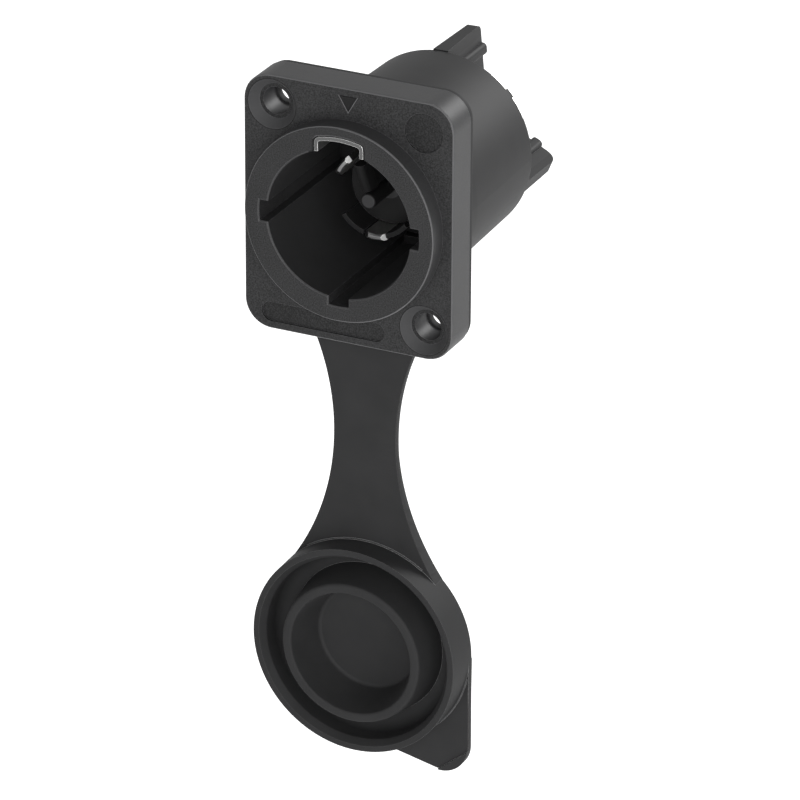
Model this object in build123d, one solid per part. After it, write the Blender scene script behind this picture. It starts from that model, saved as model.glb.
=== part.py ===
from build123d import *
import os
from math import cos, degrees, radians, sin, sqrt, tan

# Locking panel power inlet with a rubber sealing cover on a strap. Sizes are millimetres.
# The origin is on the socket's axis, in the panel's outer face, where the gasket's back lies.
# +Z is up, +Y points into the panel and the front looks to -Y.

# Flange
flange_width = 26.0
flange_height = 31.0
flange_thickness = 4.45
flange_corner_radius = 3.3
flange_edge_round = 0.2

# Screw holes on the flange's diagonal, each with a tapered seat for the screw's head
hole_edge_distance = 3.5
hole_radius = 1.65
hole_mouth_radius = 2.95
hole_seat_radius = 2.1
hole_seat_depth = 1.2

# Marks on the flange's face: a triangle at the top and two bare recesses
mark_depth = 0.25
mark_line = 0.25
triangle_width = 2.3
triangle_height = 1.95
triangle_edge_distance = 0.9
round_recess_radius = 2.35
round_recess_edge_distance = 3.65
pill_height = 2.4
pill_length = 15.5
pill_centre_x = -3.15
pill_edge_distance = 2.1

# Ring round the socket's mouth
ring_margin = 1.25
ring_height = 2.5
ring_edge_round = 0.15

# Barrel behind the panel
barrel_margin = 1.3
barrel_draft = 0.35
barrel_length = 19.4
panel_seat_length = 4.0
root_relief = 0.3
root_length = 0.1

# Socket bore, its keyways and the slot for the locking plate
ring_wall = 2.83
socket_depth = 20.8
keyway_width = 2.5
keyway_depth = 1.03
mouth_break = 0.15
mouth_slope = 45.0
keyway_angles = (0.0, 180.0, -90.0)
slot_width = 6.25
slot_rise = 1.63
slot_depth = 8.0
rear_wall = 1.05

# Locking plate, a bent sheet with a window for the mating connector's latch
plate_sheet = 0.45
plate_length = 7.6
plate_corner_radius = 0.7
plate_foot_drop = 2.1
window_width = 3.2
window_length = 2.4

# Contacts, one stamping each: a curved finger in the socket and a flat tab behind it
contact_radius = 5.45
contact_sheet = 0.75
contact_span = 30.0
contact_stand_out = 3.65
contact_bevel = 0.2
contact_end_bevel = 0.5
line_finger_angle = 145.0
neutral_finger_angle = 35.0
earth_finger_angle = -90.0
line_tab_angle = 139.6
neutral_tab_angle = 40.4
earth_tab_angle = -90.0
tab_width = 6.3
tab_sheet = 0.8
tab_radius = 7.0
tab_chamfer = 0.87
tab_stand_out = 10.0

# Carrier that holds the contacts: a disc, a core, guard walls, a centre peg and a slanted rib
core_recess = 13.0
disc_thickness = 2.4
guard_span = 36.0
guard_gap = 2.0
guard_wall = 0.5
peg_radius = 0.9
peg_stand_out = 5.35
peg_round = 0.2
rib_width = 1.2
rib_thickness = 2.1
rib_round = 0.55
rib_foot_height = 1.5
rib_foot_stand_out = 6.0
rib_top_height = 5.3
rib_top_stand_out = 8.1
web_thickness = 0.6
key_length = 1.2

# Seal ring in the disc's rim
seal_section = 1.0

# Rear insulator: three drafted fins between the tabs, and three noses that hook over the barrel's end
fin_root_thickness = 1.9
fin_end_thickness = 1.25
fin_length = 11.1
fin_slope = 8.5
top_fin_corner = 1.0
side_fin_corner = 1.8
top_fin_angle = 91.3
side_fin_angle = -22.0
top_fin_stand_out = 1.25
side_fin_stand_out = 0.75
bead_setback = 3.1
bead_width = 1.5
bead_height = 0.3
bead_round = 0.5
nose_angles = (42.0, 138.0, -90.0)
nose_width = 1.2
nose_length = 1.4
nose_bite = 0.5
nose_head = 0.4

# Rubber cover, one moulding that bends at two places: gasket, strap, cap and pull tab
sheet_thickness = 0.85
gasket_inset = 0.12
tongue_length = 0.3
waist_half_width = 3.95
waist_drop = 13.4
strap_edge_radius = 30.0
upper_bend_drop = 1.0
lower_bend_drop = 15.4
bend_gap = 0.45
cap_radius = 13.0
cap_rim_height = 3.05
cap_rim_wall = 1.25
cap_rim_round = 0.5
cap_groove_lift = 0.25
cap_back_depth = 1.1
plug_radius = 8.6
plug_height = 3.8
plug_wall = 0.9
plug_lip_round = 0.3
plug_floor_radius = 6.4
plug_floor_wall = 0.6
plug_floor_round = 0.3
plug_foot_round = 0.8
pull_tab_tilt = 12.1
pull_tab_round = 3.5
lip_width = 1.0
lip_height = 0.35

# Fits
fit_clearance = 0.1
seal_clearance = 0.05
gasket_clearance = 0.15
gasket_hole_squeeze = 0.05

# Longer than any cut needs, and the tolerance for picking edges
past_all = 60.0
pick = 0.001

# Radii that follow from the flange's width
ring_radius = flange_width / 2 - ring_margin
barrel_radius = flange_width / 2 - barrel_margin
barrel_end_radius = barrel_radius - barrel_draft
socket_radius = ring_radius - ring_wall
keyway_radius = socket_radius + keyway_depth
slot_radius = socket_radius + slot_rise
plate_foot_height = slot_radius - plate_foot_drop
rear_bore_radius = barrel_end_radius - rear_wall
nose_radius = rear_bore_radius + nose_bite
disc_radius = rear_bore_radius - fit_clearance
top_fin_radius = disc_radius + top_fin_stand_out
side_fin_radius = disc_radius + side_fin_stand_out

# Places that follow from the sizes above
flange_back = -sheet_thickness
flange_front = flange_back - flange_thickness
ring_front = flange_front - ring_height
shoulder = ring_front + socket_depth
core_front = ring_front + core_recess
contact_front = core_front - contact_stand_out
disc_back = shoulder + disc_thickness
fin_end = barrel_length + fin_length
tab_end = barrel_length + tab_stand_out
contact_inner_radius = contact_radius - contact_sheet
core_radius = contact_inner_radius - fit_clearance
seal_middle = (shoulder + disc_back) / 2
flange_bottom = -flange_height / 2
waist_z = flange_bottom - waist_drop
upper_bend_z = flange_bottom - upper_bend_drop
lower_bend_z = flange_bottom - lower_bend_drop
edge_centre_x = waist_half_width + strap_edge_radius
edge_reach = strap_edge_radius + cap_radius
cap_centre_z = waist_z - sqrt(edge_reach**2 - edge_centre_x**2)
strap_end_z = cap_centre_z + (waist_z - cap_centre_z) * cap_radius / edge_reach
finger_angles = (line_finger_angle, neutral_finger_angle, earth_finger_angle)
tab_angles = (line_tab_angle, neutral_tab_angle, earth_tab_angle)
hole_offset_x = flange_width / 2 - hole_edge_distance
hole_offset_z = flange_height / 2 - hole_edge_distance
hole_places = ((-hole_offset_x, hole_offset_z), (hole_offset_x, -hole_offset_z))
round_recess_x = flange_width / 2 - round_recess_edge_distance
round_recess_z = flange_height / 2 - round_recess_edge_distance


def across(y):
    """The plane across the axis at depth y, seen from the front: local x to the right, y up."""
    return Plane(origin=(0, y, 0), x_dir=(1, 0, 0), z_dir=(0, -1, 0))


def prism(outline, front, back):
    """An outline drawn across the axis, run from one depth to another."""
    return extrude(across(front) * outline, amount=front - back)


def cylinder(radius, front, back):
    """A cylinder on the axis between two depths."""
    return prism(Circle(radius), front, back)


def taper(front_radius, back_radius, front, back):
    """A cone on the axis between two depths."""
    cone = Cone(front_radius, back_radius, back - front, align=(Align.CENTER, Align.CENTER, Align.MIN))
    return Pos(0, front, 0) * Rot(-90, 0, 0) * cone


def polar(radius, angle):
    """The point at a radius and an angle in degrees from local x."""
    return (radius * cos(radians(angle)), radius * sin(radians(angle)))


def radial_slot(angle, width, radius):
    """A straight slot from the axis outwards, with its end rounded about the axis."""
    strip = Pos(radius / 2, 0) * Rectangle(radius, width)
    return Rot(0, 0, angle) * strip & Circle(radius)


def arc_band(inner, outer, angle, span):
    """A band round the axis between two radii, centred on an angle."""
    inside = CenterArc((0, 0), inner, angle - span / 2, span)
    outside = CenterArc((0, 0), outer, angle - span / 2, span)
    return make_face(inside + outside + Line(inside @ 0, outside @ 0) + Line(inside @ 1, outside @ 1))


# Housing: flange, ring and barrel in one moulding

def lock_slot(inset):
    """The locking slot's outline, smaller all round by the inset."""
    width = slot_width - 2 * inset
    radius = slot_radius - inset
    outline = Pos(0, radius / 2) * Rectangle(width, radius) & Circle(radius)
    corners = outline.vertices().group_by(Axis.Y)[-1]
    return fillet(corners, plate_corner_radius + fit_clearance - inset)


def screw_holes(extra):
    """The two through holes' outlines, with their radius enlarged by extra."""
    return [Pos(x, z) * Circle(hole_radius + extra) for x, z in hole_places]


def screw_seats():
    """The tapered seats at the holes' mouths."""
    seat = taper(hole_mouth_radius, hole_seat_radius, flange_front, flange_front + hole_seat_depth)
    return [Pos(x, 0, z) * seat for x, z in hole_places]


def face_marks():
    """The triangle's engraved outline and the two bare recesses."""
    top = flange_height / 2 - triangle_edge_distance
    half = triangle_width / 2
    triangle = Polygon((-half, top), (half, top), (0, top - triangle_height), align=None)
    inner = offset(triangle, amount=-mark_line, kind=Kind.INTERSECTION)
    disc = Pos(round_recess_x, round_recess_z) * Circle(round_recess_radius)
    pill = Pos(pill_centre_x, flange_bottom + pill_edge_distance) * SlotOverall(pill_length, pill_height)
    marks = (triangle - inner, disc, pill)
    return [prism(mark, flange_front, flange_front + mark_depth) for mark in marks]


def noses(extra, radius):
    """The outlines of the rear insulator's noses out to a radius, enlarged by extra."""
    return [radial_slot(angle, nose_width + 2 * extra, radius + extra) for angle in nose_angles]


def socket_mouth():
    """The broken edge all round the socket's mouth."""
    opening = Circle(socket_radius) + lock_slot(0)
    for angle in keyway_angles:
        opening += radial_slot(angle, keyway_width, keyway_radius)
    wider = offset(opening, amount=mouth_break, kind=Kind.INTERSECTION)
    return extrude(across(ring_front) * wider, amount=-mouth_break, taper=mouth_slope)


def housing():
    outline = RectangleRounded(flange_width, flange_height, flange_corner_radius)
    flange = prism(outline, flange_front, flange_back)
    flange = fillet(flange.faces().sort_by(Axis.Y)[0].edges(), flange_edge_round)
    ring = cylinder(ring_radius, ring_front, flange_front)
    ring = fillet(ring.edges().sort_by(Axis.Y)[0], ring_edge_round)
    barrel = taper(barrel_radius - root_relief, barrel_radius, flange_back, root_length)
    barrel += cylinder(barrel_radius, root_length, panel_seat_length)
    barrel += taper(barrel_radius, barrel_end_radius, panel_seat_length, barrel_length)
    body = flange + ring + barrel
    body -= cylinder(socket_radius, ring_front, shoulder)
    body -= cylinder(rear_bore_radius, shoulder, barrel_length)
    for angle in keyway_angles:
        body -= prism(radial_slot(angle, keyway_width, keyway_radius), ring_front, shoulder)
    body -= prism(lock_slot(0), ring_front, ring_front + slot_depth)
    body -= socket_mouth()
    for hole in screw_holes(0):
        body -= prism(hole, flange_front, flange_back)
    for seat in screw_seats():
        body -= seat
    for mark in face_marks():
        body -= mark
    for pocket in noses(fit_clearance, nose_radius):
        body -= prism(pocket, barrel_length - nose_length - fit_clearance, barrel_length)
    return body


def locking_plate():
    section = lock_slot(fit_clearance) - lock_slot(fit_clearance + plate_sheet)
    section -= Pos(0, plate_foot_height / 2) * Rectangle(slot_width, plate_foot_height)
    front = ring_front + fit_clearance
    plate = prism(section, front, front + plate_length)
    middle = front + plate_length / 2
    window = Pos(0, slot_radius / 2) * Rectangle(window_width, slot_radius)
    return plate - prism(window, middle - window_length / 2, middle + window_length / 2)


# Contacts and their carrier

def finger_outline(angle, extra):
    """A finger's section, enlarged all round by extra."""
    span = contact_span + 2 * degrees(extra / contact_inner_radius)
    return arc_band(contact_inner_radius - extra, contact_radius + extra, angle, span)


def bridge_outline(finger_angle, tab_angle, extra):
    """The plate that joins a contact's finger to its tab, enlarged all round by extra."""
    root = contact_inner_radius * cos(radians(contact_span / 2)) - extra
    root_half = contact_inner_radius * sin(radians(contact_span / 2)) + extra
    tip = tab_radius + tab_sheet / 2 + extra
    tip_half = tab_width / 2 + extra
    plate = Polygon((root, -root_half), (tip, -tip_half), (tip, tip_half), (root, root_half), align=None)
    return Rot(0, 0, tab_angle) * plate + finger_outline(finger_angle, extra)


def tab_outline(angle, extra):
    """A tab's section, enlarged all round by extra."""
    section = Rectangle(tab_sheet + 2 * extra, tab_width + 2 * extra)
    return Rot(0, 0, angle) * Pos(tab_radius, 0) * section


def contact(finger_angle, tab_angle):
    finger = prism(finger_outline(finger_angle, 0), contact_front, disc_back)
    finger = chamfer(finger.edges().filter_by(GeomType.LINE).group_by(Axis.Y)[0], contact_end_bevel)
    finger = chamfer(finger.edges().filter_by(GeomType.CIRCLE).group_by(Axis.Y)[0], contact_bevel)
    bridge = prism(bridge_outline(finger_angle, tab_angle, 0), disc_back, disc_back + tab_sheet)
    tab = prism(tab_outline(tab_angle, 0), disc_back, tab_end)
    through_tab = Axis((0, 0, 0), (cos(radians(tab_angle)), 0, sin(radians(tab_angle))))
    end_corners = tab.edges().filter_by(through_tab).group_by(Axis.Y)[-1]
    tab = chamfer(end_corners, tab_chamfer)
    return finger + bridge + tab


def slanted_rib():
    """The round-nosed rib over the peg and the thin web behind it."""
    foot_y = core_front - rib_foot_stand_out
    top_y = core_front - rib_top_stand_out
    foot = (foot_y, rib_foot_height)
    top = (top_y, rib_top_height)
    back_top = (top_y + rib_thickness, rib_top_height)
    back_foot = (foot_y + rib_thickness, rib_foot_height)
    side = Polygon(foot, top, back_top, back_foot, align=None)
    bar = extrude(Plane.YZ * side, amount=rib_width / 2, both=True)
    slant = Axis((0, 0, 0), (0, top[0] - foot[0], top[1] - foot[1]))
    bar = fillet(bar.edges().filter_by(slant).sort_by(Axis.Y)[0:2], rib_round)
    behind = (back_foot, back_top, (shoulder, rib_top_height), (shoulder, rib_foot_height))
    web = extrude(Plane.YZ * Polygon(*behind, align=None), amount=web_thickness / 2, both=True)
    return bar + web


def contact_carrier():
    disc = cylinder(disc_radius, shoulder, disc_back)
    core = cylinder(core_radius, core_front, shoulder)
    peg = cylinder(peg_radius, core_front - peg_stand_out, core_front)
    peg = fillet(peg.edges().sort_by(Axis.Y)[0], peg_round)
    body = disc + core + peg + slanted_rib()
    first = contact_span / 2 + guard_span / 2 + guard_gap
    for side in (-1, 1):
        middle = earth_finger_angle + side * first
        guard = arc_band(core_radius, core_radius + guard_wall, middle, guard_span)
        body += prism(guard, contact_front, shoulder)
    for angle in finger_angles:
        body -= prism(finger_outline(angle, fit_clearance), shoulder, disc_back)
    floor_radius = rear_bore_radius - seal_section - 2 * seal_clearance
    half = seal_section / 2 + seal_clearance
    groove = Circle(rear_bore_radius) - Circle(floor_radius)
    body -= prism(groove, seal_middle - half, seal_middle + half)
    key_width = keyway_width - 2 * fit_clearance
    key = radial_slot(earth_finger_angle, key_width, keyway_radius - fit_clearance)
    body += prism(key - Circle(socket_radius), shoulder - key_length, shoulder)
    return body


def carrier_seal():
    outer = rear_bore_radius - seal_clearance
    half = seal_section / 2
    return prism(Circle(outer) - Circle(outer - seal_section), seal_middle - half, seal_middle + half)


# Rear insulator

def fin(angle, radius, corner_radius):
    """A drafted fin with a sloping rear edge, its outer corner rounded, and a bead along each side."""
    root = fin_root_thickness / 2
    end = fin_end_thickness / 2
    sides = ((barrel_length, -root), (fin_end, -end), (fin_end, end), (barrel_length, root))
    plate = extrude(Plane.YZ * Polygon(*sides, align=None), amount=radius)
    section = RectangleRounded(bead_width, fin_root_thickness + 2 * bead_height, bead_round)
    bead = prism(Pos(radius - bead_setback, 0) * section, barrel_length, fin_end)
    corner_y = fin_end - radius * tan(radians(fin_slope))
    corners = ((0, barrel_length), (radius, barrel_length), (radius, corner_y), (0, fin_end))
    side = Polygon(*corners, align=None)
    corner = side.vertices().sort_by_distance(Vector(radius, corner_y))[0]
    profile = extrude(fillet(corner, corner_radius), amount=radius, both=True)
    return Rot(0, -angle, 0) * ((plate + bead) & profile)


def rear_insulator():
    body = cylinder(disc_radius, disc_back, barrel_length)
    for finger_angle, tab_angle in zip(finger_angles, tab_angles):
        bridge = bridge_outline(finger_angle, tab_angle, fit_clearance)
        body -= prism(bridge, disc_back, disc_back + tab_sheet + fit_clearance)
        body -= prism(tab_outline(tab_angle, fit_clearance), disc_back, barrel_length)
    hollow = Circle(disc_radius - nose_length)
    for nose in noses(0, nose_radius):
        body += prism(nose - hollow, barrel_length - nose_length, barrel_length)
    for head in noses(0, barrel_end_radius):
        body += prism(head - hollow, barrel_length, barrel_length + nose_head)
    body += fin(top_fin_angle, top_fin_radius, top_fin_corner)
    for angle in (side_fin_angle, 180 - side_fin_angle):
        body += fin(angle, side_fin_radius, side_fin_corner)
    return body


# Rubber cover

def strap_outline(top, bottom):
    """The strap between two heights, its edges hollowed by two circles that touch the cap's."""
    outline = Pos(0, (top + bottom) / 2) * Rectangle(2 * edge_centre_x, top - bottom)
    for side in (-1, 1):
        outline -= Pos(side * edge_centre_x, waist_z) * Circle(strap_edge_radius)
    return outline


def bend_end(height):
    """Everything below a bend, with a half-round end that turns about the sheet's middle."""
    half = sheet_thickness / 2
    nose = Pos(0, -half, height) * Rot(0, 90, 0) * Cylinder(half, past_all)
    room = Box(past_all, past_all, past_all, align=(Align.CENTER, Align.CENTER, Align.MAX))
    return nose + Pos(0, 0, height) * room


def cover_gasket():
    outline = RectangleRounded(flange_width, flange_height, flange_corner_radius)
    outline = offset(outline, amount=-gasket_inset)
    outline += strap_outline(flange_bottom + flange_corner_radius, flange_bottom - tongue_length)
    outline -= Circle(barrel_radius + gasket_clearance)
    for hole in screw_holes(-gasket_hole_squeeze):
        outline -= hole
    return prism(outline, flange_back, 0)


def cover_strap():
    outline = strap_outline(upper_bend_z + sheet_thickness, lower_bend_z + sheet_thickness / 2 + bend_gap)
    return prism(outline, flange_back, 0) & bend_end(upper_bend_z)


def pull_tab_outline():
    """The tab between two tangents of the cap, about the cap's centre."""
    lower = -90 - pull_tab_tilt
    corner_reach = cap_radius / cos(radians(lower / 2))
    corner = polar(corner_reach, lower / 2)
    outline = Polygon((0, 0), (cap_radius, 0), corner, polar(cap_radius, lower), align=None)
    tip = outline.vertices().sort_by_distance(Vector(*corner))[0]
    return fillet(tip, pull_tab_round)


def pull_tab():
    """The tab, level with the cap's back, with a raised lip across its tip."""
    outline = pull_tab_outline() - Circle(cap_radius - cap_rim_wall / 2)
    direction = (-90 - pull_tab_tilt) / 2
    tip_reach = (cap_radius - pull_tab_round) / cos(radians(direction)) + pull_tab_round
    beyond = Pos(tip_reach, 0) * Rectangle(2 * lip_width, 2 * cap_radius)
    lip = outline & Rot(0, 0, direction) * beyond
    front = cap_back_depth - sheet_thickness
    return prism(outline, front, cap_back_depth) + prism(lip, front - lip_height, front)


def rings_at(body, depth):
    """A turned body's circular edges at one depth, the smallest first."""
    circles = body.edges().filter_by(GeomType.CIRCLE)
    return circles.filter_by_position(Axis.Y, depth - pick, depth + pick).sort_by(SortBy.RADIUS)


def cap_body():
    """The cap's rim, groove and hollow plug, turned about its own axis."""
    rim_front = flange_back - cap_rim_height
    plug_front = flange_back - plug_height
    groove = flange_back + cap_groove_lift
    back = cap_back_depth
    floor = back - plug_floor_wall
    rim_inner = cap_radius - cap_rim_wall
    corners = [(0, back), (cap_radius, back), (cap_radius, rim_front), (rim_inner, rim_front)]
    corners += [(rim_inner, groove), (plug_radius, groove)]
    corners += [(plug_radius, plug_front), (plug_radius - plug_wall, plug_front)]
    corners += [(plug_floor_radius, floor), (0, floor)]
    profile = make_face(Plane.XY * Polyline(*corners, close=True))
    body = revolve(profile, Axis.Y)
    body = fillet(rings_at(body, groove)[0], plug_foot_round)
    body = fillet(rings_at(body, floor), plug_floor_round)
    body = fillet(rings_at(body, rim_front), cap_rim_round)
    return fillet(rings_at(body, plug_front), plug_lip_round)


def cover_cap():
    """The strap's lower half, which thickens towards the cap, with the cap and its tab."""
    top = lower_bend_z + sheet_thickness
    outline = strap_outline(top, strap_end_z)
    outline -= Pos(0, cap_centre_z) * Circle(cap_radius - cap_rim_wall / 2)
    strap = prism(outline, flange_back, cap_back_depth)
    corners = [(flange_back, top), (0, top), (0, lower_bend_z), (cap_back_depth, strap_end_z)]
    side = Polygon(*corners, (flange_back, strap_end_z), align=None)
    strap &= extrude(Plane.YZ * side, amount=cap_radius, both=True)
    return (strap & bend_end(lower_bend_z)) + Pos(0, 0, cap_centre_z) * (cap_body() + pull_tab())


nodes = {
    "housing": housing(),
    "locking_plate": locking_plate(),
    "contact_carrier": contact_carrier(),
    "contact_line": contact(line_finger_angle, line_tab_angle),
    "contact_neutral": contact(neutral_finger_angle, neutral_tab_angle),
    "contact_earth": contact(earth_finger_angle, earth_tab_angle),
    "carrier_seal": carrier_seal(),
    "rear_insulator": rear_insulator(),
    "cover_gasket": cover_gasket(),
    "cover_strap": cover_strap(),
    "cover_cap": cover_cap(),
}
os.makedirs("parts", exist_ok=True)
for name, solid in nodes.items():
    export_step(solid, f"parts/{name}.step")
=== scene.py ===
import math

import bmesh
import bpy
from mathutils import Matrix, Vector


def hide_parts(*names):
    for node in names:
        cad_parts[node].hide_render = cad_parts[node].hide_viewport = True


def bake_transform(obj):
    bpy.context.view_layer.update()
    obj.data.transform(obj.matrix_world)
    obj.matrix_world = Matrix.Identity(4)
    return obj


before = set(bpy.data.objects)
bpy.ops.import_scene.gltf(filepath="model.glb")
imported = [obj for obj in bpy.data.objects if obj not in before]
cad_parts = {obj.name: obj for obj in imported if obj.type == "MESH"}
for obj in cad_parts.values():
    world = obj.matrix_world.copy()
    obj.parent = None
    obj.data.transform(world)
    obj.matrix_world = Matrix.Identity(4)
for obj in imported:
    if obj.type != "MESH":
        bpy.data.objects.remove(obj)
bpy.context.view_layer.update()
MM = 0.001

# The housing: flange, ring and barrel in one black moulding of glass-filled nylon. The mould's faces for the
# flange and the ring are spark eroded, so they come out finely grained; the barrel and the socket are smoother.
nylon_dark = (0.012, 0.012, 0.0122, 1)
nylon_light = (0.078, 0.078, 0.08, 1)
nylon_edge_highlight = (0.2, 0.2, 0.205, 1)
panel_plane = -0.85 * MM
flange_front = -5.3 * MM
ring_face = -7.8 * MM
edges_end = -4.35 * MM
flange_half_x = 13.0 * MM
flange_half_z = 15.5 * MM
flange_corner = 3.3 * MM
outline_width = 0.25 * MM
socket_wall = 8.95 * MM
ring_edge_depth = 0.17 * MM
ring_outer_edge = 10.6 * MM
ring_foot = 12.0 * MM
barrel_inside = 10.0 * MM
pin_radius = 1.6 * MM
slot_half = 3.7 * MM
slot_low = 7.6 * MM
slot_top = 10.4 * MM
slot_lip = 0.4 * MM
screw_x = 9.5 * MM
screw_z = 12.0 * MM
seat_mouth = 2.95 * MM
seat_line_width = 0.12 * MM
seat_margin = 0.2 * MM
recess_step = 0.05 * MM
recess_depth = 0.4 * MM
triangle_top = 14.6 * MM
triangle_half = 1.15 * MM
triangle_height = 1.95 * MM
triangle_wall = 0.09 * MM
# How far the triangle's painted rim highlight reaches outside and inside its slopes.
rim_highlight_outside = 0.07 * MM
rim_highlight_inside = 0.02 * MM
faces_front = 0.9
faces_sideways = 0.25


class Surface:
    """One value of a finish as it varies over a piece. Sums on it add the Math nodes that work them out."""

    def __init__(self, tree, socket=None):
        self.tree = tree
        self.socket = socket

    def node(self, kind, settings=(), inputs=(), output=0):
        """Adds a node: its settings first, then its sockets' numbers and links."""
        made = self.tree.nodes.new(kind)
        for name, value in dict(settings).items():
            setattr(made, name, value)
        for name, value in dict(inputs).items():
            if isinstance(value, Surface):
                self.tree.links.new(value.socket, made.inputs[name])
            else:
                made.inputs[name].default_value = value
        return Surface(self.tree, made.outputs[output] if len(made.outputs) else None)

    def maths(self, operation, *terms):
        return self.node("ShaderNodeMath", {"operation": operation}, enumerate(terms))

    def __add__(self, other):
        return self.maths("ADD", self, other)

    def __sub__(self, other):
        return self.maths("SUBTRACT", self, other)

    def __rsub__(self, other):
        return self.maths("SUBTRACT", other, self)

    def __mul__(self, other):
        return self.maths("MULTIPLY", self, other)

    def __abs__(self):
        return self.maths("ABSOLUTE", self)

    def above(self, limit):
        return self.maths("GREATER_THAN", self, limit)

    def below(self, limit):
        return 1 - self.above(limit)

    def between(self, low, high):
        return self.above(low) * self.below(high)

    __radd__ = __add__
    __rmul__ = __mul__


def finish(name):
    """A new finish: its material, the piece's own coordinates and their three parts."""
    material = bpy.data.materials.new(name)
    material.use_nodes = True
    material.node_tree.nodes.clear()
    start = Surface(material.node_tree)
    place = start.node("ShaderNodeTexCoord", output="Object")
    parts = [start.node("ShaderNodeSeparateXYZ", inputs={"Vector": place}, output=axis) for axis in "XYZ"]
    return material, start, place, parts


def length(start, first, second):
    """How far a place is from a point or an axis, from its two offsets."""
    return start.maths("POWER", first * first + second * second, 0.5)


def speckle(start, place, size, detail=2.0):
    """Noise from 0 to 1 whose grains are about as wide as size."""
    settings = {"Vector": place, "Scale": 1 / size, "Detail": detail, "Roughness": 0.55}
    return start.node("ShaderNodeTexNoise", inputs=settings, output="Fac")


def tinted(start, colour, lighter, amount):
    """The colour, moved towards another one where amount is high."""
    inputs = {"Factor": amount, 6: colour, 7: lighter}
    return start.node("ShaderNodeMix", {"data_type": "RGBA"}, inputs, output=2)


def eased_edges(start, width):
    """The surface's direction with its sharp edges rounded to this width."""
    return start.node("ShaderNodeBevel", {"samples": 6}, {"Radius": width}, "Normal")


def facing(start, axis):
    """How far the surface's direction goes along one of the piece's own axes."""
    direction = start.node("ShaderNodeTexCoord", output="Normal")
    return start.node("ShaderNodeSeparateXYZ", inputs={"Vector": direction}, output=axis)


def squareness(start):
    """How squarely a face looks along the socket's axis: 1 on a front or a back, 0 on a side."""
    return abs(facing(start, "Y"))


def edge_light(start, rounded):
    """0 on open faces, rising to 1 on the rounded edges."""
    direction = start.node("ShaderNodeNewGeometry", output="Normal")
    same = start.node("ShaderNodeVectorMath", {"operation": "DOT_PRODUCT"}, {0: rounded, 1: direction}, "Value")
    return start.node("ShaderNodeMapRange", inputs={"Value": same, 1: 0.999, 2: 0.9, 3: 0.0, 4: 1.0})


def raised(start, height, depth, rounded):
    """The surface's direction with a relief of this depth on it."""
    inputs = {"Strength": 1.0, "Distance": depth, "Height": height, "Normal": rounded}
    return start.node("ShaderNodeBump", inputs=inputs)


def surfaced(material, start, **sockets):
    """Closes a finish with its one shader."""
    named = {name.replace("_", " "): value for name, value in sockets.items()}
    shader = start.node("ShaderNodeBsdfPrincipled", inputs=named)
    start.node("ShaderNodeOutputMaterial", inputs={"Surface": shader})
    return material


def face_triangle(start, x, z):
    """The plain triangle on the flange's front: its engraved floor, and a painted highlight along its two slopes."""
    below_top = triangle_top - z
    lean = math.hypot(1 / triangle_half, 1 / triangle_height)
    from_sides = (1 - abs(x) * (1 / triangle_half) - below_top * (1 / triangle_height)) * (1 / lean)
    inside = start.maths("MINIMUM", below_top, from_sides)
    floor = start.node("ShaderNodeMapRange", inputs={"Value": inside, 1: 0.0, 2: triangle_wall, 3: 0.0, 4: 1.0})
    triangle_rim_highlight = from_sides.between(-rim_highlight_outside, rim_highlight_inside) * below_top.above(0.0)
    return floor, triangle_rim_highlight


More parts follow.
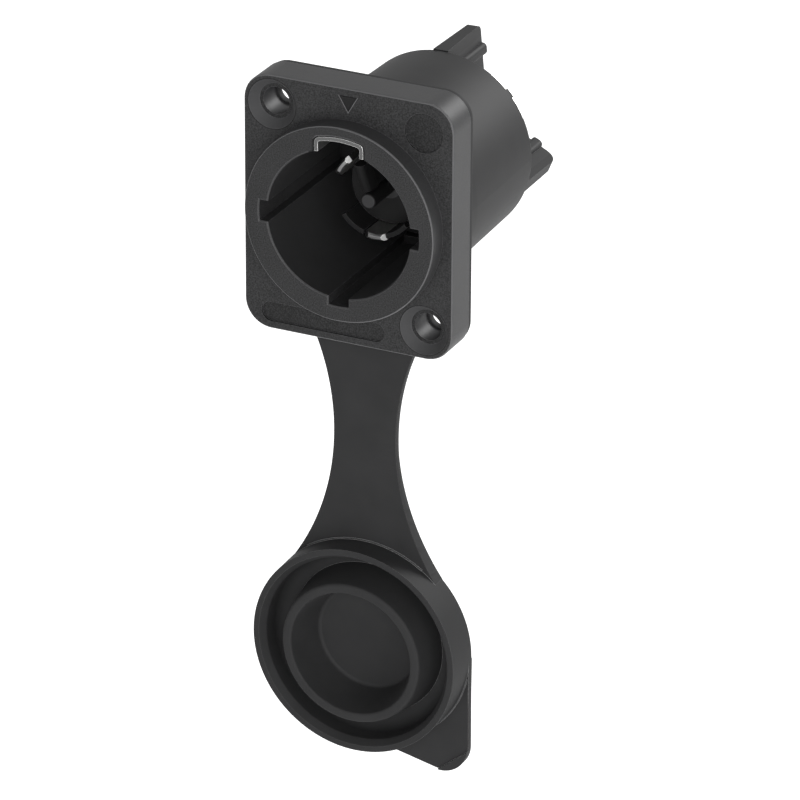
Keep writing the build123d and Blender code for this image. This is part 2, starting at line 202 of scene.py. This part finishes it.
def moulded_nylon(name, level):
    """Black nylon: grained in front of the panel and outside the socket, smoother elsewhere; painted light and shade
    are in its colour.
    """
    material, start, place, (x, y, z) = finish(name)
    radius = length(start, x, z)
    square = squareness(start)
    before_panel = y.below(panel_plane)
    outside = radius.above(barrel_inside)
    grained = before_panel * radius.above(socket_wall)
    fine = speckle(start, place, 0.15 * MM)
    coarse = speckle(start, place, 0.4 * MM, 1.0)
    flow = speckle(start, place, 7 * MM)

    # Bands along the flange's front outline and the ring's edge, where painted highlights go.
    beyond_x = start.maths("MAXIMUM", abs(x) - (flange_half_x - flange_corner), 0.0)
    beyond_z = start.maths("MAXIMUM", abs(z) - (flange_half_z - flange_corner), 0.0)
    outline = length(start, beyond_x, beyond_z).above(flange_corner - outline_width)
    ring_edge = y.below(ring_face + ring_edge_depth) * (radius.above(ring_outer_edge) * 0.7 + 0.3)
    front_edge_highlight = start.maths("MAXIMUM", outline, ring_edge)
    front_edge_highlight = front_edge_highlight * square.between(faces_sideways, 0.96) * y.below(edges_end)

    beside_slot = abs(x).below(slot_half) * z.above(slot_low) * radius.below(slot_top)
    slot_mouth = beside_slot * square.below(0.96) * y.below(ring_face + slot_lip)

    from_screw = length(start, abs(x) - screw_x, abs(z) - screw_z)
    screw_side = (x * z).below(0.0) * before_panel
    seat = from_screw.below(seat_mouth) * screw_side * square.below(faces_front)
    seat_line = from_screw.between(seat_mouth, seat_mouth + seat_line_width) * screw_side * square.above(faces_front)

    face = square.above(faces_front) * grained * radius.above(ring_foot)
    triangle, triangle_rim_highlight = face_triangle(start, x, z)
    triangle = triangle * face
    recess_floor = face * y.above(flange_front + recess_step)
    recess_wall = square.below(0.5) * y.between(flange_front, flange_front + recess_depth) * radius.above(ring_foot)
    near_seat = from_screw.below(seat_mouth + seat_margin) * screw_side
    recess_wall = recess_wall * (1 - outline) * (1 - near_seat)

    rounded = eased_edges(start, 0.05 * MM)
    # Painted highlights: the rounded edges, the front outline, the ring's edge and the triangle's rim are tinted
    # towards a light grey.
    edges = (edge_light(start, rounded) * 0.5 + front_edge_highlight * 0.6) * (1 - beside_slot)
    edges = edges + triangle_rim_highlight * face * 0.7
    # The flange's sides: their colour is painted lighter as painted light, and their grain is fainter.
    lit_flange_side = square.below(faces_sideways) * before_panel * outside * (1 - seat)
    grain = (fine - 0.5) * (grained * 1.1 + 0.15) * (1 - seat * 0.7) * (1 - lit_flange_side * 0.6)
    tone = level + grain + (flow - 0.5) * 0.2
    changes = (
        # painted shade: everything behind the panel, where the flange shades it, darker
        (y.above(panel_plane) * outside, -0.12),
        # painted light: the flange's sides lighter than its front
        (lit_flange_side, 0.35),
        # painted light: the pin's front end lighter
        (square.above(faces_front) * radius.below(pin_radius), 0.5),
        # painted highlight: the screw seats' cones much lighter
        (seat, 1.1),
        # painted shade: a thin dark ring round each seat's mouth
        (seat_line, -0.5),
        # painted shade: the engraved triangle's floor darker
        (triangle, -0.45),
        # painted shade: the slot's mouth dark
        (slot_mouth, -1.0),
        # painted shade: the recesses' floors and walls darker
        (recess_floor, -0.15),
        (recess_wall, -0.6),
    )
    for part, change in changes:
        tone = tone + part * change
    height = (fine * 0.65 + coarse * 0.35) * (grained * 0.85 + 0.15) * (1 - seat * 0.7) - triangle * 9
    return surfaced(
        material,
        start,
        # painted highlights on the edges, over the tone with its painted light and shade
        Base_Color=tinted(start, tinted(start, nylon_dark, nylon_light, tone), nylon_edge_highlight, edges),
        Roughness=0.52 + fine * 0.08 - grained * 0.1,
        Specular_IOR_Level=0.15,
        Normal=raised(start, height, 0.014 * MM, rounded),
    )


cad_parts["housing"].data.materials[0] = moulded_nylon("moulded_nylon", 0.3)

# The locking plate: a strip of stainless sheet bent to a channel and pressed into the top slot. Its rolled face
# is brushed along its length, its sides are lighter, and painted highlights run along its rounded edges.
steel_dull = (0.07, 0.07, 0.07, 1)
steel_bright = (0.95, 0.95, 0.94, 1)
material, start, place, _ = finish("rolled_stainless")
streaks = start.node("ShaderNodeMapping", inputs={"Vector": place, "Scale": (1, 0.06, 1)})
brushed = speckle(start, streaks, 0.09 * MM, 3.0)
rounded = eased_edges(start, 0.07 * MM)
# painted highlight on the rounded edges, added to the brushing streaks and the lighter sides
bright = edge_light(start, rounded) + brushed * 0.1 + squareness(start).below(faces_front) * 0.35
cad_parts["locking_plate"].data.materials[0] = surfaced(
    material,
    start,
    Base_Color=tinted(start, steel_dull, steel_bright, bright),
    Metallic=1.0,
    Roughness=0.3 + brushed * 0.2,
    Normal=raised(start, brushed, 0.002 * MM, rounded),
)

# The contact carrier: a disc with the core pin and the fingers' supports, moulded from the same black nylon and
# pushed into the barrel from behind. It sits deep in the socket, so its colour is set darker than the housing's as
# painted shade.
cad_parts["contact_carrier"].data.materials[0] = moulded_nylon("carrier_nylon", 0.0)

# The three contacts: brass stampings with a satin silver plate, held in the carrier's slots. The fingers' cut
# fronts are darker, their chamfered right ends carry a painted highlight, and painted shade darkens the tabs' edges.
silver_clean = (0.62, 0.62, 0.61, 1)
silver_tarnished = (0.42, 0.41, 0.38, 1)
silver_dull = (0.3, 0.3, 0.3, 1)
silver_highlight = (0.98, 0.98, 0.97, 1)
fingers_end = 15 * MM
material, start, place, (x, y, z) = finish("silver_plate")
grain = speckle(start, place, 0.12 * MM, 3.0)
tarnish = speckle(start, place, 2.2 * MM)
rounded = eased_edges(start, 0.06 * MM)
square = squareness(start)
fingers = y.below(fingers_end)
facing_x = facing(start, "X")
facing_z = facing(start, "Z")
at_an_end = (abs(facing_x * z - facing_z * x) - length(start, x, z) * 0.35).above(0.0)
# painted highlight: the fingers' chamfered right ends made bright and less metallic
end_highlight = square.between(0.15, 0.9) * (facing_x + facing_z * 0.5).above(0.3) * at_an_end * fingers
dull_front = square.above(0.15) * (1 - end_highlight) * fingers
# painted shade: the tabs' rounded edges darkened
tab_edge_shade = edge_light(start, rounded) * (1 - fingers)
plating = tinted(start, silver_clean, silver_tarnished, tarnish * 0.6)
plating = tinted(start, plating, silver_dull, dull_front + tab_edge_shade * 0.8)
silver = surfaced(
    material,
    start,
    Base_Color=tinted(start, plating, silver_highlight, end_highlight),
    Metallic=1 - end_highlight * 0.6,
    Roughness=0.24 + grain * 0.14 + tarnish * 0.08,
    Normal=raised(start, grain, 0.0015 * MM, rounded),
)
for node in ("contact_line", "contact_neutral", "contact_earth"):
    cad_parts[node].data.materials[0] = silver

# The seal ring: a moulded ring of soft black rubber, stretched into the groove of the carrier's rim. It is seen
# only if the barrel is opened.
seal_dark = (0.012, 0.012, 0.012, 1)
seal_light = (0.03, 0.03, 0.03, 1)
material, start, place, _ = finish("seal_rubber")
mottle = speckle(start, place, 0.5 * MM)
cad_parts["carrier_seal"].data.materials[0] = surfaced(
    material,
    start,
    Base_Color=tinted(start, seal_dark, seal_light, mottle),
    Roughness=0.7 + mottle * 0.1,
    Normal=raised(start, mottle, 0.004 * MM, eased_edges(start, 0.1 * MM)),
)

# The rear insulator: the plate with the fins between the tabs, moulded from the same black nylon and snapped over
# the barrel's end. It closes the back and holds the contacts down.
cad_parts["rear_insulator"].data.materials[0] = moulded_nylon("insulator_nylon", 0.3)

# The rubber cover's upper half: the gasket behind the flange with the strap's upper part, one sheet of moulded
# rubber. It is cut across just below the flange, where the real cover bends, and meets the lower half in the middle
# of the strap.
rubber_dark = (0.02, 0.02, 0.0205, 1)
rubber_light = (0.1, 0.1, 0.102, 1)
rubber_edge_highlight = (0.26, 0.26, 0.263, 1)
sheet = 0.85 * MM
sheet_middle = -sheet / 2
edge_round = 0.05 * MM
weld = 1e-7
waist_z = -28.9 * MM
waist_half = 3.95 * MM
hollow = 30.0 * MM
lower_hollow = 31.0 * MM
meeting_z = -23.7 * MM
overlap = 1.0 * MM
seam_hidden = 0.12 * MM
upper_bend = -16.5 * MM
upper_cut_step = 0.18 * MM
gasket_half_x = 12.88 * MM
gasket_half_z = 15.38 * MM
gasket_corner = 3.18 * MM
barrel_hole_radius = 11.85 * MM
screw_hole = 1.4 * MM


def strap_half(z):
    """Half the strap's width at a height, between its two hollow edges."""
    radius = hollow if z > waist_z else lower_hollow
    return waist_half + radius - math.sqrt(radius**2 - (z - waist_z) ** 2)


def strap_edge(top, bottom, steps):
    """The strap's right edge from one height to another."""
    heights = [top + (bottom - top) * step / steps for step in range(steps + 1)]
    return [(strap_half(z), z) for z in heights]


def arc(centre, radius, first, last, steps):
    """Points on an arc between two angles in degrees."""
    turns = [math.radians(first + (last - first) * step / steps) for step in range(steps + 1)]
    return [(centre[0] + radius * math.cos(turn), centre[1] + radius * math.sin(turn)) for turn in turns]


def mirrored(points):
    """The same points on the other side, in the order that carries the outline on."""
    return [(-px, pz) for px, pz in reversed(points)]


def rubber_sheet(name, outlines, front, back):
    """A flat sheet from its outline and holes, between two depths, with its edges eased."""
    curve = bpy.data.curves.new(name, "CURVE")
    curve.dimensions = "2D"
    curve.fill_mode = "BOTH"
    curve.bevel_depth = edge_round
    curve.bevel_resolution = 2
    curve.offset = -edge_round
    curve.extrude = (back - front) / 2 - edge_round
    for outline in outlines:
        spline = curve.splines.new("POLY")
        spline.points.add(len(outline) - 1)
        for point, (px, pz) in zip(spline.points, outline):
            point.co = (px, pz, 0, 1)
        spline.use_cyclic_u = True
    drawn = bpy.data.objects.new(name, curve)
    mesh = bpy.data.meshes.new_from_object(drawn)
    upright = Matrix.Rotation(math.radians(90), 4, "X")
    mesh.transform(Matrix.Translation((0, (front + back) / 2, 0)) @ upright)
    bpy.data.objects.remove(drawn)
    return mesh


def bend_cuts(mesh, keep, below, bends):
    """Ends a sheet at the meeting height and cuts it across at each of the given heights."""
    shape = bmesh.new()
    shape.from_mesh(mesh)
    bmesh.ops.remove_doubles(shape, verts=shape.verts, dist=weld)
    everything = shape.verts[:] + shape.edges[:] + shape.faces[:]
    side = {"clear_outer": not below, "clear_inner": below}
    cut = bmesh.ops.bisect_plane(shape, geom=everything, plane_co=(0, 0, keep), plane_no=(0, 0, -1), **side)
    rim = [part for part in cut["geom_cut"] if isinstance(part, bmesh.types.BMEdge)]
    bmesh.ops.edgeloop_fill(shape, edges=rim)
    for height in bends:
        everything = shape.verts[:] + shape.edges[:] + shape.faces[:]
        bmesh.ops.bisect_plane(shape, geom=everything, plane_co=(0, 0, height), plane_no=(0, 0, 1))
    bmesh.ops.recalc_face_normals(shape, faces=shape.faces[:])
    shape.to_mesh(mesh)
    shape.free()


def moulded_rubber(name):
    """Black rubber: smooth from its mould, dull, with a faint cloudiness and painted highlights on its thin edges.
    """
    material, start, place, (x, y, z) = finish(name)
    clouds = speckle(start, place, 6 * MM)
    fine = speckle(start, place, 0.22 * MM)
    eased = eased_edges(start, 0.06 * MM)
    plain = start.node("ShaderNodeNewGeometry", output="Normal")
    seam = z.between(meeting_z - seam_hidden, meeting_z + seam_hidden)
    rounded = start.node("ShaderNodeMix", {"data_type": "VECTOR"}, {"Factor": seam, 4: eased, 5: plain}, output=1)
    tone = tinted(start, rubber_dark, rubber_light, clouds * 0.2)
    return surfaced(
        material,
        start,
        # painted highlight: the rounded edges tinted towards a light grey
        Base_Color=tinted(start, tone, rubber_edge_highlight, edge_light(start, rounded)),
        Roughness=0.62 + clouds * 0.06,
        Specular_IOR_Level=0.15,
        Normal=raised(start, fine * 0.5 + clouds * 0.5, 0.003 * MM, rounded),
    )


def set_down(piece, material):
    """Smooths a finished piece's faces, keeps its flat ones flat and gives it its finish."""
    bpy.context.scene.collection.objects.link(piece)
    piece.data.materials.clear()
    piece.data.materials.append(material)
    piece.data.polygons.foreach_set("use_smooth", [True] * len(piece.data.polygons))
    piece.data.set_sharp_from_angle(angle=math.radians(42))
    flat = piece.modifiers.new("flat_faces", "WEIGHTED_NORMAL")
    flat.keep_sharp = True
    bpy.context.view_layer.update()
    made = bpy.data.meshes.new_from_object(piece.evaluated_get(bpy.context.evaluated_depsgraph_get()))
    piece.modifiers.clear()
    piece.data = made
    made.name = piece.name


corner_x = gasket_half_x - gasket_corner
corner_z = gasket_half_z - gasket_corner
right_side = strap_edge(meeting_z - overlap, -gasket_half_z, 24)
right_side += arc((corner_x, -corner_z), gasket_corner, -90, 0, 16)
right_side += arc((corner_x, corner_z), gasket_corner, 0, 90, 16)
barrel_hole = arc((0, 0), barrel_hole_radius, 0, 357, 119)
screw_places = ((-screw_x, screw_z), (screw_x, -screw_z))
screw_holes = [arc(screw, screw_hole, 0, 351, 39) for screw in screw_places]
outlines = [right_side + mirrored(right_side), barrel_hole] + screw_holes
upper_mesh = rubber_sheet("cover_upper", outlines, -sheet, 0)
bend_cuts(upper_mesh, meeting_z, False, [upper_bend + step * upper_cut_step for step in range(-8, 6)])
cover_upper = bpy.data.objects.new("cover_upper", upper_mesh)
cover_rubber = moulded_rubber("cover_rubber")
set_down(cover_upper, cover_rubber)
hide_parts("cover_gasket", "cover_strap")
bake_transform(cover_upper)

# The rubber cover's lower half: the strap's lower part, the cap with its rim and its hollow plug, and the pull
# tab. The cap is turned from its section, the strap and the tab run into its outer wall, and a low band marks
# where each of them leaves it.
cap_radius = 13.0 * MM
cap_z = waist_z - math.sqrt((hollow + cap_radius) ** 2 - (waist_half + hollow) ** 2)
cap_back = 1.1 * MM
rim_front = -3.95 * MM
rim_radius = 12.92 * MM
rim_crest = 12.2 * MM
rim_slope_foot = -3.1 * MM
groove_wall = 11.6 * MM
groove_foot = 11.5 * MM
groove_floor = 0.2 * MM
plug_foot = 9.6 * MM
plug_radius = 8.8 * MM
plug_front = -4.65 * MM
plug_inner = 7.7 * MM
cup_floor_radius = 6.5 * MM
cup_floor = 0.5 * MM
section = [
    (0, cap_back, 0),
    (cap_radius, cap_back, 0.25),
    (rim_radius, rim_front, 0.04),
    (rim_crest, rim_front, 0.05),
    (groove_wall, rim_slope_foot, 0.3),
    (groove_foot, groove_floor, 1.5),
    (plug_foot, groove_floor, 0),
    (plug_radius, plug_front, 0.4),
    (plug_inner, plug_front, 0.3),
    (cup_floor_radius, cup_floor, 0.5),
    (0, cup_floor, 0),
]
steps_around = 160
corner_steps = 5
lower_bend = -30.9 * MM
lower_cut_step = 0.2 * MM
root_cuts = [-36 * MM, -39 * MM, -42 * MM, -45 * MM]
root_growth = 1.05 * MM
inside_wall = 12.4 * MM
strap_sink = 0.12 * MM
tab_sink = 0.06 * MM
tab_set_back = 0.02 * MM
tab_turn = 12.1
tab_round = 3.5 * MM
lip_width = 1.0 * MM
lip_height = 0.35 * MM
strap_root_radius = 13.12 * MM
tab_root_radius = 13.08 * MM
root_step = 0.1 * MM


def turning_tree(name):
    """Turns a section, drawn as a line in x and y with a rounding at each corner, about the y axis."""
    tree = bpy.data.node_groups.new(name, "GeometryNodeTree")
    sides = tree.interface
    sides.new_socket("Section", in_out="INPUT", socket_type="NodeSocketGeometry")
    for label, value in (("Steps around", steps_around), ("Steps in a corner", corner_steps)):
        sides.new_socket(label, in_out="INPUT", socket_type="NodeSocketInt").default_value = value
    sides.new_socket("Finish", in_out="INPUT", socket_type="NodeSocketMaterial")
    sides.new_socket("Turned", in_out="OUTPUT", socket_type="NodeSocketGeometry")

    def node(kind, settings=(), inputs=(), output=0):
        made = tree.nodes.new(kind)
        for key, value in dict(settings).items():
            setattr(made, key, value)
        for key, value in dict(inputs).items():
            if isinstance(value, bpy.types.NodeSocket):
                tree.links.new(value, made.inputs[key])
            else:
                made.inputs[key].default_value = value
        return made.outputs[output] if len(made.outputs) else None

    def maths(operation, first, second=0.0):
        return node("ShaderNodeMath", {"operation": operation}, {0: first, 1: second})

    given = tree.nodes.new("NodeGroupInput").outputs
    rounding = node("GeometryNodeInputNamedAttribute", {"data_type": "FLOAT"}, {"Name": "rounding"})
    line = node("GeometryNodeMeshToCurve", inputs={"Mesh": given["Section"]})
    corners = {"Curve": line, "Radius": rounding, "Limit Radius": True, "Count": given["Steps in a corner"]}
    eased = node("GeometryNodeFilletCurve", {"mode": "POLY"}, corners)
    count = node("GeometryNodeAttributeDomainSize", {"component": "CURVE"}, {"Geometry": eased}, "Point Count")
    closed = maths("ADD", given["Steps around"], 1)
    grid = node("GeometryNodeMeshGrid", inputs={"Vertices X": closed, "Vertices Y": count}, output="Mesh")
    index = node("GeometryNodeInputIndex")
    along_section = maths("MODULO", index, count)
    step = maths("FLOOR", maths("DIVIDE", index, count))
    turn = maths("MULTIPLY", maths("DIVIDE", step, given["Steps around"]), 2 * math.pi)
    drawn = {"Geometry": eased, "Value": node("GeometryNodeInputPosition"), "Index": along_section}
    sampled = node("GeometryNodeSampleIndex", {"data_type": "FLOAT_VECTOR"}, drawn)
    turned = node("ShaderNodeVectorRotate", {"rotation_type": "Y_AXIS"}, {"Vector": sampled, "Angle": turn})
    placed = node("GeometryNodeSetPosition", inputs={"Geometry": grid, "Position": turned})
    welded = node("GeometryNodeMergeByDistance", inputs={"Geometry": placed, "Distance": weld})
    real = node("GeometryNodeRealizeInstances", inputs={"Geometry": welded})
    painted = node("GeometryNodeSetMaterial", inputs={"Geometry": real, "Material": given["Finish"]})
    node("NodeGroupOutput", inputs={"Turned": painted})
    return tree


def turned(name, section, tree, material):
    """A turned shape as a plain mesh."""
    line = bpy.data.meshes.new(name)
    links = [(i, i + 1) for i in range(len(section) - 1)]
    line.from_pydata([(px, py, 0) for px, py, _ in section], links, [])
    rounding = line.attributes.new("rounding", "FLOAT", "POINT")
    rounding.data.foreach_set("value", [ease * MM for _, _, ease in section])
    blank = bpy.data.objects.new(name, line)
    bpy.context.scene.collection.objects.link(blank)
    modifier = blank.modifiers.new("turning", "NODES")
    modifier.node_group = tree
    wanted = {"Steps around": steps_around, "Steps in a corner": corner_steps, "Finish": material}
    for item in tree.interface.items_tree:
        if item.in_out == "INPUT" and item.name in wanted:
            modifier[item.identifier] = wanted[item.name]
    bpy.context.view_layer.update()
    mesh = bpy.data.meshes.new_from_object(blank.evaluated_get(bpy.context.evaluated_depsgraph_get()))
    bpy.data.objects.remove(blank)
    return mesh


def root_band(name, radius, first, last, front):
    """The low step where the strap or the tab grows out of the cap's wall."""
    outline = arc((0, cap_z), radius, first, last, 48) + arc((0, cap_z), inside_wall, last, first, 48)
    return rubber_sheet(name, [outline], front, front + sheet / 2)


cap_mesh = turned("cap_turned", section, turning_tree("turned_rubber"), cover_rubber)
cap_mesh.transform(Matrix.Translation((0, 0, cap_z)))

# Where the strap's side reaches the cap's wall: the two circles cross there.
hollow_centre = Vector((waist_half + lower_hollow, waist_z - cap_z))
along = (hollow_centre.length_squared + cap_radius**2 - lower_hollow**2) / (2 * hollow_centre.length)
contact_angle = math.degrees(math.atan2(hollow_centre.y, hollow_centre.x) + math.acos(along / cap_radius))
contact_z = cap_z + cap_radius * math.sin(math.radians(contact_angle))
right_side = arc((0, cap_z), inside_wall, 90, contact_angle - 10, 24)
right_side += arc((0, cap_z), cap_radius - strap_sink, contact_angle - 9, contact_angle, 6)[:-1]
right_side += list(reversed(strap_edge(meeting_z + overlap, contact_z, 60)))
lower_strap = rubber_sheet("strap", [right_side + mirrored(right_side)[:-1]], -sheet, 0)
fold_cuts = [lower_bend + step * lower_cut_step for step in range(-12, 13)]
bend_cuts(lower_strap, meeting_z, True, fold_cuts + root_cuts)
for vertex in lower_strap.vertices:
    if vertex.co.y > sheet_middle:
        share = (lower_bend - vertex.co.z) / (lower_bend - contact_z)
        vertex.co.y += root_growth * min(max(share, 0), 1)

# The tab fills the corner between two tangents to the cap, one upright and one leaning by the tab's turn.
lower_edge = -90 - tab_turn
middle = lower_edge / 2
tip_reach = (cap_radius - tab_round) / math.cos(math.radians(middle))
tip_centre = (tip_reach * math.cos(math.radians(middle)), cap_z + tip_reach * math.sin(math.radians(middle)))
just_inside = cap_radius - tab_sink
tab_outline = arc((0, cap_z), just_inside, lower_edge, lower_edge + 3, 3)
tab_outline += arc((0, cap_z), inside_wall, lower_edge + 7, -7, 36)
tab_outline += arc((0, cap_z), just_inside, -3, 0, 3)
tab_outline += arc(tip_centre, tab_round, 0, lower_edge, 24)
tab_back = cap_back - tab_set_back
tab_front = tab_back - sheet
tab_mesh = rubber_sheet("pull_tab", [tab_outline], tab_front, tab_back)
lip_half = math.degrees(math.acos(1 - lip_width / tab_round))
lip_outline = arc(tip_centre, tab_round, middle + lip_half, middle - lip_half, 18)
lip_mesh = rubber_sheet("tab_lip", [lip_outline], tab_front - lip_height, tab_front + sheet / 2)
strap_root = root_band("strap_root", strap_root_radius, contact_angle + 10, 170 - contact_angle, -sheet - root_step)
tab_root = root_band("tab_root", tab_root_radius, lower_edge + 12, -12, tab_front - root_step)

shape = bmesh.new()
for mesh in (cap_mesh, lower_strap, tab_mesh, lip_mesh, strap_root, tab_root):
    shape.from_mesh(mesh)
bmesh.ops.remove_doubles(shape, verts=shape.verts, dist=weld)
bmesh.ops.recalc_face_normals(shape, faces=shape.faces[:])
lower_mesh = bpy.data.meshes.new("cover_lower")
shape.to_mesh(lower_mesh)
shape.free()
cover_lower = bpy.data.objects.new("cover_lower", lower_mesh)
set_down(cover_lower, cover_rubber)
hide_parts("cover_cap")
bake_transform(cover_lower)

# The studio: a pale floor well below the hanging cap, a key from the front right, a fill beside the camera, a
# rim light from behind on the right, and the camera where the photograph was taken from.
floor_z = -0.16
floor_size = 4
lamp_distance = 0.8
lamp_aim = Vector((0, 0.01, -0.03))
azimuth = math.radians(25.5303)
elevation = math.radians(24.8124)
roll = math.radians(0.3007)
distance = 650.23 * MM
picture_width = 800
picture_focal = 5802.8
sensor_width = 36
aside = -5.8384 * MM
upward = 20.4412 * MM


def seen_white(start):
    """1 for what the eye sees, straight, mirrored or through glass, and 0 for the light that falls on the part."""
    kinds = ("Is Camera Ray", "Is Glossy Ray", "Is Transmission Ray")
    straight, mirrored_rays, through = [start.node("ShaderNodeLightPath", output=kind) for kind in kinds]
    return start.maths("MINIMUM", straight + mirrored_rays + through, 1.0)


def soft_box(name, direction, width, height, power):
    """A rectangular lamp that looks at the part from a direction."""
    lamp = bpy.data.lights.new(name, "AREA")
    lamp.shape = "RECTANGLE"
    lamp.size = width
    lamp.size_y = height
    lamp.energy = power
    holder = bpy.data.objects.new(name, lamp)
    way = Vector(direction).normalized()
    holder.location = lamp_aim + way * lamp_distance
    holder.rotation_euler = (-way).to_track_quat("-Z", "Y").to_euler()
    bpy.context.scene.collection.objects.link(holder)


shape = bmesh.new()
bmesh.ops.create_grid(shape, x_segments=8, y_segments=8, size=floor_size)
floor_mesh = bpy.data.meshes.new("floor")
shape.to_mesh(floor_mesh)
shape.free()
floor = bpy.data.objects.new("floor", floor_mesh)
floor.location = (0, 0, floor_z)
bpy.context.scene.collection.objects.link(floor)
material, start, *_ = finish("pale_floor")
matt = start.node("ShaderNodeBsdfDiffuse", inputs={"Color": (0.8, 0.8, 0.8, 1)})
glow = start.node("ShaderNodeEmission", inputs={"Color": (1, 1, 1, 1), "Strength": 0.85})
lit = start.node("ShaderNodeAddShader", inputs={0: matt, 1: glow})
shown = start.node("ShaderNodeMixShader", inputs={0: seen_white(start), 1: matt, 2: lit})
start.node("ShaderNodeOutputMaterial", inputs={"Surface": shown})
floor.data.materials.append(material)

world = bpy.data.worlds.new("studio")
world.use_nodes = True
world.node_tree.nodes.clear()
start = Surface(world.node_tree)
sky = start.node("ShaderNodeBackground", inputs={"Color": (1, 1, 1, 1), "Strength": 0.08})
white = start.node("ShaderNodeBackground", inputs={"Color": (1, 1, 1, 1), "Strength": 1.0})
both = start.node("ShaderNodeMixShader", inputs={0: seen_white(start), 1: sky, 2: white})
start.node("ShaderNodeOutputWorld", inputs={"Surface": both})
bpy.context.scene.world = world

soft_box("key", (0.75, -0.75, 0.25), 0.5, 0.6, 2.4)
soft_box("fill", (0.2, -0.95, 0.2), 0.5, 0.6, 3.4)
soft_box("rim", (0.36, 0.81, 0.46), 0.35, 0.45, 5.2)

level_reach = math.cos(elevation)
back = Vector((math.sin(azimuth) * level_reach, -math.cos(azimuth) * level_reach, math.sin(elevation)))
sideways = Vector((math.cos(azimuth), math.sin(azimuth), 0))
over = back.cross(sideways)
right = sideways * math.cos(roll) + over * math.sin(roll)
top = over * math.cos(roll) - sideways * math.sin(roll)
camera = bpy.data.cameras.new("camera")
camera.sensor_width = sensor_width
camera.lens = picture_focal * sensor_width / picture_width
camera.clip_start = 0.05
camera.clip_end = 20
viewer = bpy.data.objects.new("camera", camera)
turn = Matrix((right, top, back)).transposed().to_4x4()
spot = back * distance - right * aside - top * upward + Vector((0, flange_front, 0))
viewer.matrix_world = Matrix.Translation(spot) @ turn
bpy.context.scene.collection.objects.link(viewer)
bpy.context.scene.camera = viewer
bpy.context.scene.view_settings.view_transform = "Standard"
